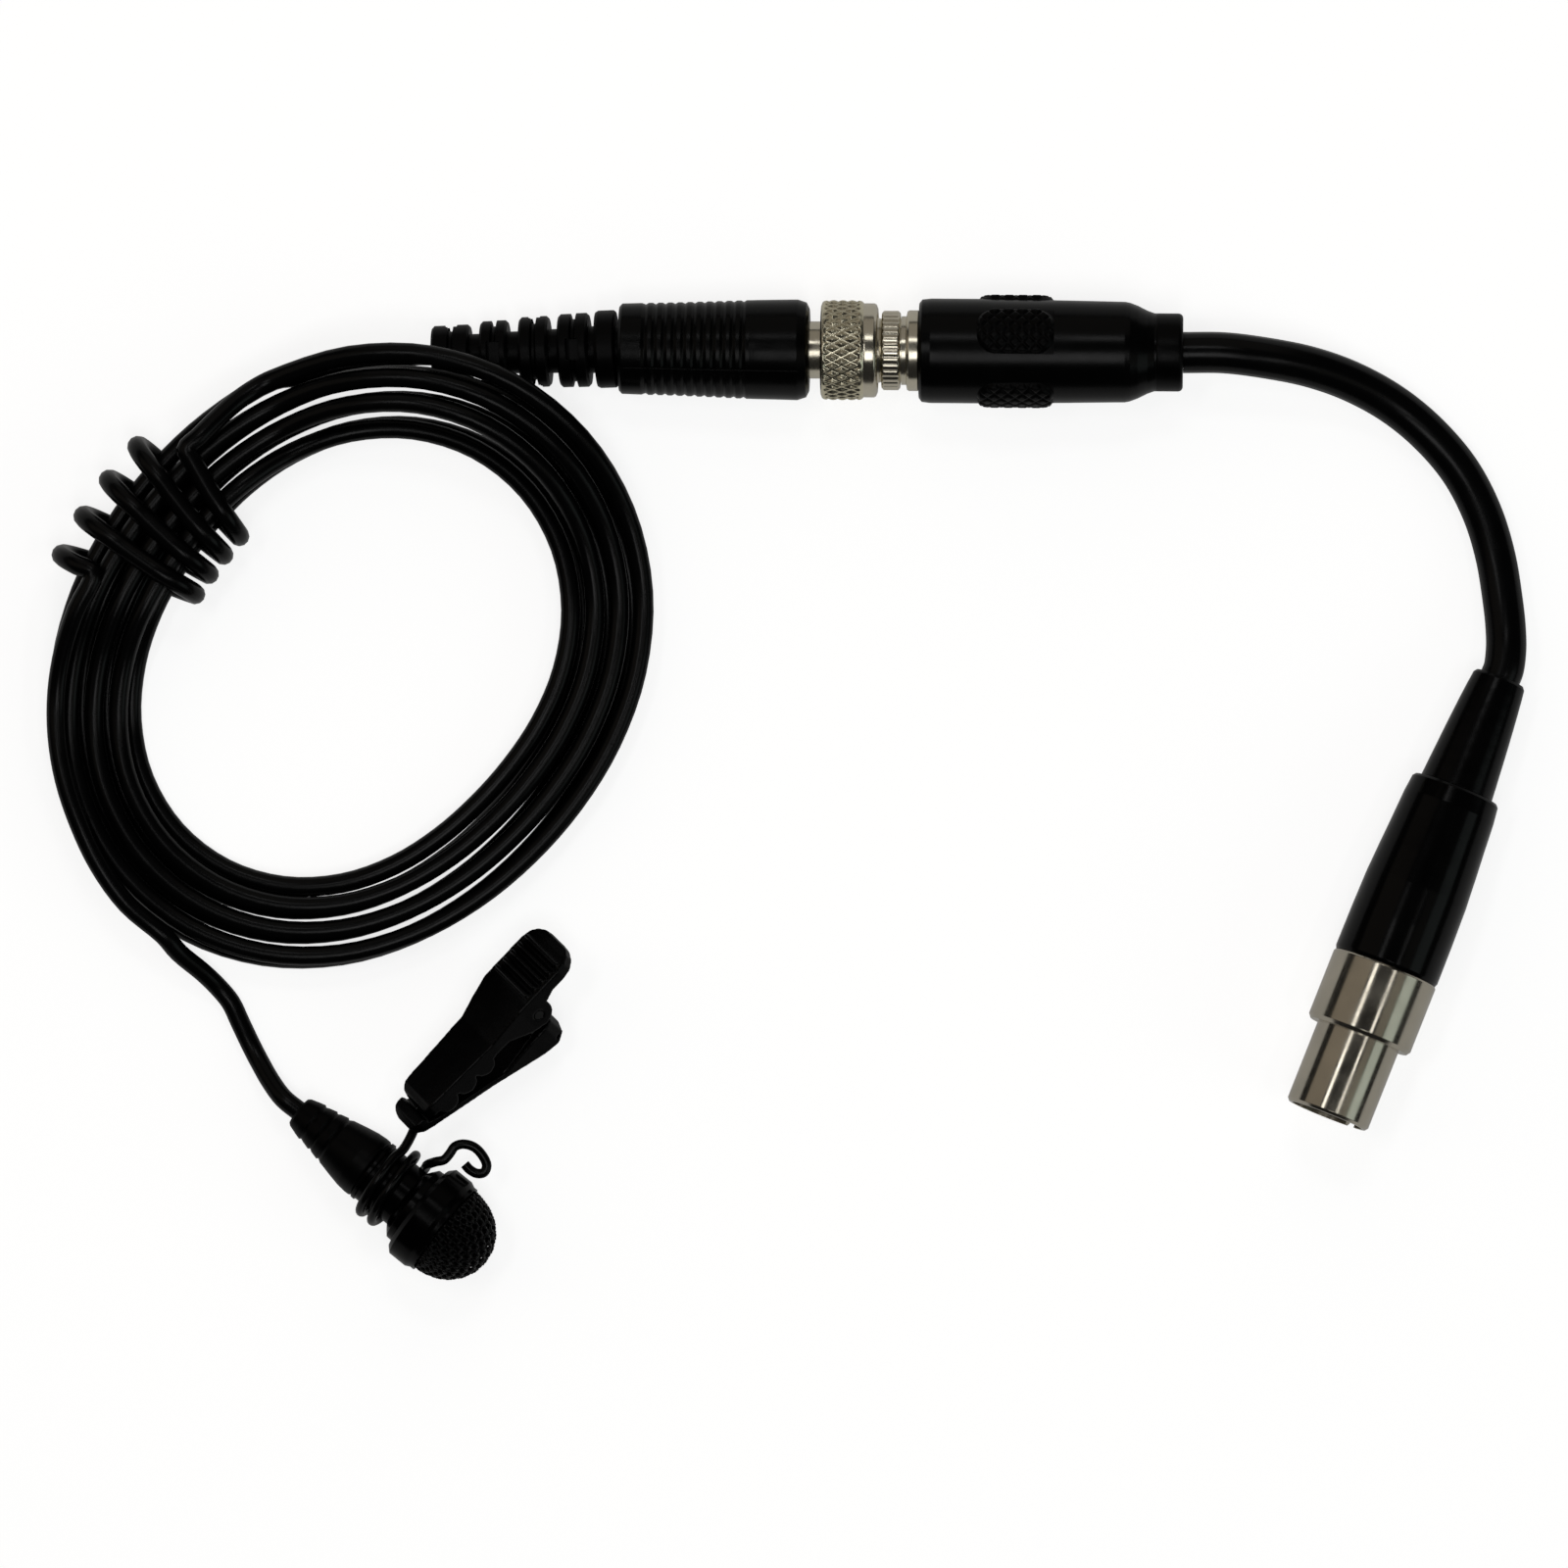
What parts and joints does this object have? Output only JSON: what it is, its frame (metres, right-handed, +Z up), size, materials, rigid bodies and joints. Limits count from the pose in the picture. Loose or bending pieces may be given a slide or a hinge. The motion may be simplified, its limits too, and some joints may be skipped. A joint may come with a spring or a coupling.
{
  "type": "lavalier microphone",
  "caption": "Clip-on lavalier microphone head on a thin coiled lead with a locking jack plug, joined to an adapter lead that ends in a small round latching connector.",
  "frame": {"origin": "on the surface the part lies on, below the middle of the box round the microphone head and its clip", "axes": "+Z up from the surface, +Y from the head towards the coil, along the longest side of head and clip, +X towards the round connector"},
  "size_m": [0.1511, 0.1005, 0.0122],
  "materials": {
    "grille_mesh": "woven wire, satin black",
    "satin_black": "satin black",
    "capsule_can": "drawn can",
    "board_green": "solder mask",
    "foam_grey": "open foam",
    "soft_black": "soft moulding, matt",
    "clip_black": "fine texture, semi-gloss",
    "pin_steel": "turned",
    "spring_steel": "drawn wire",
    "wire_black": "black lacquer on spring wire",
    "cable_black": "smooth sheath, semi-gloss",
    "moulded_black": "moulded, semi-matt",
    "nickel": "bright nickel, turned",
    "insulator_black": "moulded",
    "contact_brass": "gold flash",
    "cover_gloss": "polished"
  },
  "bodies": {
    "lead": {"grille": "grille_mesh", "grille_collar": "satin_black", "capsule_housing": "satin_black", "electret_capsule": "capsule_can", "capsule_board": "board_green", "foam_disc": "foam_grey", "head_boot": "soft_black", "head_lead": "cable_black", "cable_coil": "cable_black", "cable_wrap": "cable_black", "plug_lead": "cable_black", "plug_relief": "soft_black", "plug_barrel": "moulded_black", "plug_neck": "nickel", "plug_sleeve": "nickel", "plug_insulators": "insulator_black", "plug_ring": "nickel", "plug_tip": "nickel"},
    "clip_base": {"clip_lower_jaw": "clip_black", "clip_hinge_pin": "pin_steel", "clip_spring": "spring_steel", "holder_wire": "wire_black"},
    "clip_lever": {"clip_upper_jaw": "clip_black"},
    "nut": {"locking_nut": "nickel"},
    "adapter": {"socket_bush": "nickel", "lock_ring": "nickel", "adapter_flange": "nickel", "adapter_barrel": "moulded_black", "grip_pads": "soft_black", "socket_insulator": "insulator_black", "socket_springs": "contact_brass", "cable_gland": "soft_black", "adapter_cable": "cable_black", "connector_boot": "soft_black", "connector_cover": "cover_gloss", "connector_shell": "nickel", "contact_insert": "insulator_black", "contact_sockets": "contact_brass", "latch_spring": "spring_steel", "cable_clamp": "pin_steel"},
    "latch": {"latch_button": "nickel"}
  },
  "joints": [
    {"name": "clip_turn", "type": "hinge", "parent": "lead", "child": "clip_base", "pos_m": [-0.01358, -0.00087, 0.00382], "axis": [0.7762, -0.6218, 0.1045], "continuous": true},
    {"name": "clip_jaw", "type": "hinge", "parent": "clip_base", "child": "clip_lever", "pos_m": [0.00915, 0.01082, 0.0061], "axis": [-0.5047, 0.4773, -0.7193], "range_deg": [0, 24], "stiffness_Nm_per_rad": 0.04, "springref_deg": -28.65, "deforming": ["clip_spring"]},
    {"name": "nut_turn", "type": "hinge", "parent": "lead", "child": "nut", "pos_m": [0.03974, 0.07682, 0.0053], "axis": [0.9994, -0.0082, 0.0332], "continuous": true},
    {"name": "adapter_pull", "type": "slide", "parent": "lead", "child": "adapter", "axis": [0.9994, -0.0082, 0.0332], "range_m": [0, 0.015]},
    {"name": "latch_press", "type": "slide", "parent": "adapter", "child": "latch", "axis": [-0.6382, 0.3084, 0.7054], "range_m": [0, 0.0005], "stiffness_N_per_m": 800, "springref_m": -0.0004}
  ]
}
